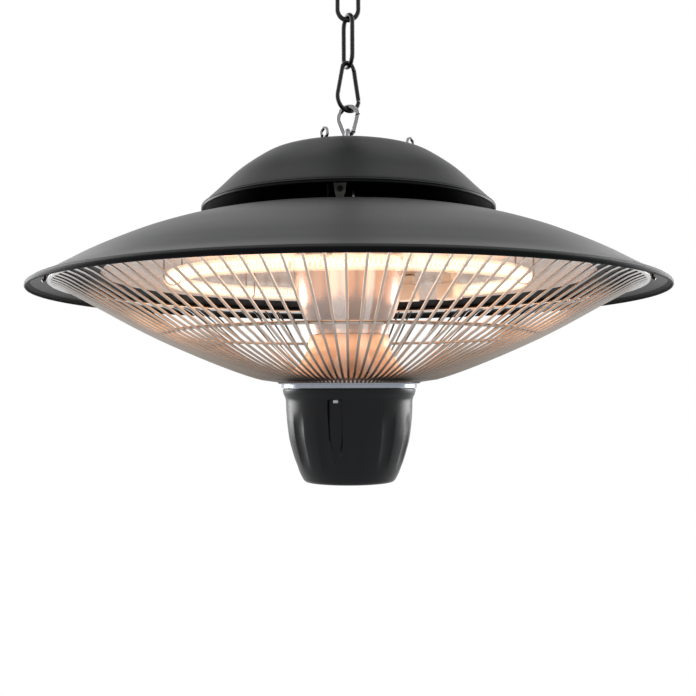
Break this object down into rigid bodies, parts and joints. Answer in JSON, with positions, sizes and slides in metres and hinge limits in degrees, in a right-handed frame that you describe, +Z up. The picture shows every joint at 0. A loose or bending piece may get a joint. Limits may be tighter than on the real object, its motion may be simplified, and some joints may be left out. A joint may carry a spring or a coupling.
{
  "type": "hanging patio heater",
  "caption": "Hanging electric patio heater: a ring lamp under a domed shade with a wire guard and a control cup, hung on a short chain with snap hooks.",
  "frame": {"origin": "middle of the ceiling plate's top face, which meets the ceiling", "axes": "+Z up out of the top face into the ceiling; +Y away from the side shown in the picture; +X to the right seen from that side"},
  "size_m": [0.425, 0.425, 0.3838],
  "materials": {
    "black_steel": "black lacquered steel wire and plate, semi-matt",
    "chrome": "bright chrome plate",
    "zinc": "zinc-plated steel",
    "cap_black": "matt black paint on spun metal",
    "shade_black": "matt charcoal-black paint on spun metal",
    "polished_aluminium": "polished spun aluminium",
    "guard_steel": "bright plated steel wire",
    "quartz": "clear quartz tube",
    "filament": "glowing wound wire",
    "ceramic": "unglazed white ceramic",
    "cup_black": "satin black moulded plastic",
    "clear_plastic": "milky clear plastic",
    "board_green": "green board with matt lacquer",
    "dark_lens": "dark red window, glossy"
  },
  "bodies": {
    "ceiling": {"ceiling_plate": "black_steel", "ceiling_hook": "black_steel"},
    "link_upper": {"chain_link_upper": "black_steel"},
    "link_lower": {"chain_link_lower": "black_steel"},
    "black_hook": {"black_snap_hook": "black_steel", "black_snap_pin": "zinc"},
    "black_gate": {"black_snap_gate": "black_steel"},
    "chrome_hook": {"chrome_snap_hook": "chrome", "chrome_snap_pin": "zinc"},
    "chrome_gate": {"chrome_snap_gate": "chrome"},
    "heater": {"centre_eye": "zinc", "eye_washer": "zinc", "eye_nut": "zinc", "top_cap": "cap_black", "cable_gland": "cup_black", "eye_bolt_1": "zinc", "eye_bolt_2": "zinc", "eye_bolt_3": "zinc", "eye_bolt_4": "zinc", "upper_spacer_1": "black_steel", "upper_spacer_2": "black_steel", "upper_spacer_3": "black_steel", "upper_spacer_4": "black_steel", "lower_spacer_1": "zinc", "lower_spacer_2": "zinc", "lower_spacer_3": "zinc", "lower_spacer_4": "zinc", "reflector_nut_1": "zinc", "reflector_nut_2": "zinc", "reflector_nut_3": "zinc", "reflector_nut_4": "zinc", "terminal_block": "clear_plastic", "shade": "shade_black", "support_cross": "zinc", "upper_reflector": "polished_aluminium", "lower_reflector": "polished_aluminium", "centre_tube": "zinc", "tube_nut": "zinc", "lamp_tube": "quartz", "filament_coil": "filament", "lamp_end_1": "ceramic", "lamp_end_2": "ceramic", "lamp_clip_1": "zinc", "lamp_clip_2": "zinc", "lamp_clip_3": "zinc", "wire_guard": "guard_steel", "guard_middle_ring": "guard_steel", "guard_clip_1": "cup_black", "guard_clip_2": "cup_black", "guard_clip_3": "cup_black", "guard_clip_4": "cup_black", "collar": "chrome", "control_cup": "cup_black", "cup_screw_1": "zinc", "cup_screw_2": "zinc", "cup_screw_3": "zinc", "control_board": "board_green", "receiver_window": "dark_lens", "button_spring": "zinc"},
    "button": {"power_button": "cup_black"}
  },
  "joints": [
    {"name": "upper_link_swing", "type": "hinge", "parent": "ceiling", "child": "link_upper", "pos_m": [0, 0, -0.033], "axis": [0, 1, 0], "range_deg": [-25, 25]},
    {"name": "lower_link_swing", "type": "hinge", "parent": "link_upper", "child": "link_lower", "pos_m": [0, 0, -0.0649], "axis": [1, 0, 0], "range_deg": [-25, 25]},
    {"name": "black_hook_swing", "type": "hinge", "parent": "link_lower", "child": "black_hook", "pos_m": [0, 0, -0.0972], "axis": [0.4131, -0.9107, 0], "range_deg": [-25, 25]},
    {"name": "black_gate_turn", "type": "hinge", "parent": "black_hook", "child": "black_gate", "pos_m": [0.0039, 0.00294, -0.09794], "axis": [-0.6018, 0.7986, 0], "range_deg": [0, 20], "stiffness_Nm_per_rad": 0.02, "springref_deg": -20.05},
    {"name": "chrome_hook_swing", "type": "hinge", "parent": "black_hook", "child": "chrome_hook", "pos_m": [0, 0, -0.1275], "axis": [0.7986, 0.6018, 0], "range_deg": [-25, 25]},
    {"name": "chrome_gate_turn", "type": "hinge", "parent": "chrome_hook", "child": "chrome_gate", "pos_m": [0.00327, -0.00167, -0.14229], "axis": [-0.454, -0.891, 0], "range_deg": [0, 18], "stiffness_Nm_per_rad": 0.02, "springref_deg": -20.05},
    {"name": "heater_swing", "type": "hinge", "parent": "chrome_hook", "child": "heater", "pos_m": [0, 0, -0.1447], "axis": [0.891, -0.454, 0], "range_deg": [-18, 18]},
    {"name": "power_button_press", "type": "slide", "parent": "heater", "child": "button", "axis": [0, 0, 1], "range_m": [0, 0.0015], "stiffness_N_per_m": 300, "springref_m": -0.0015, "deforming": ["button_spring"]}
  ]
}
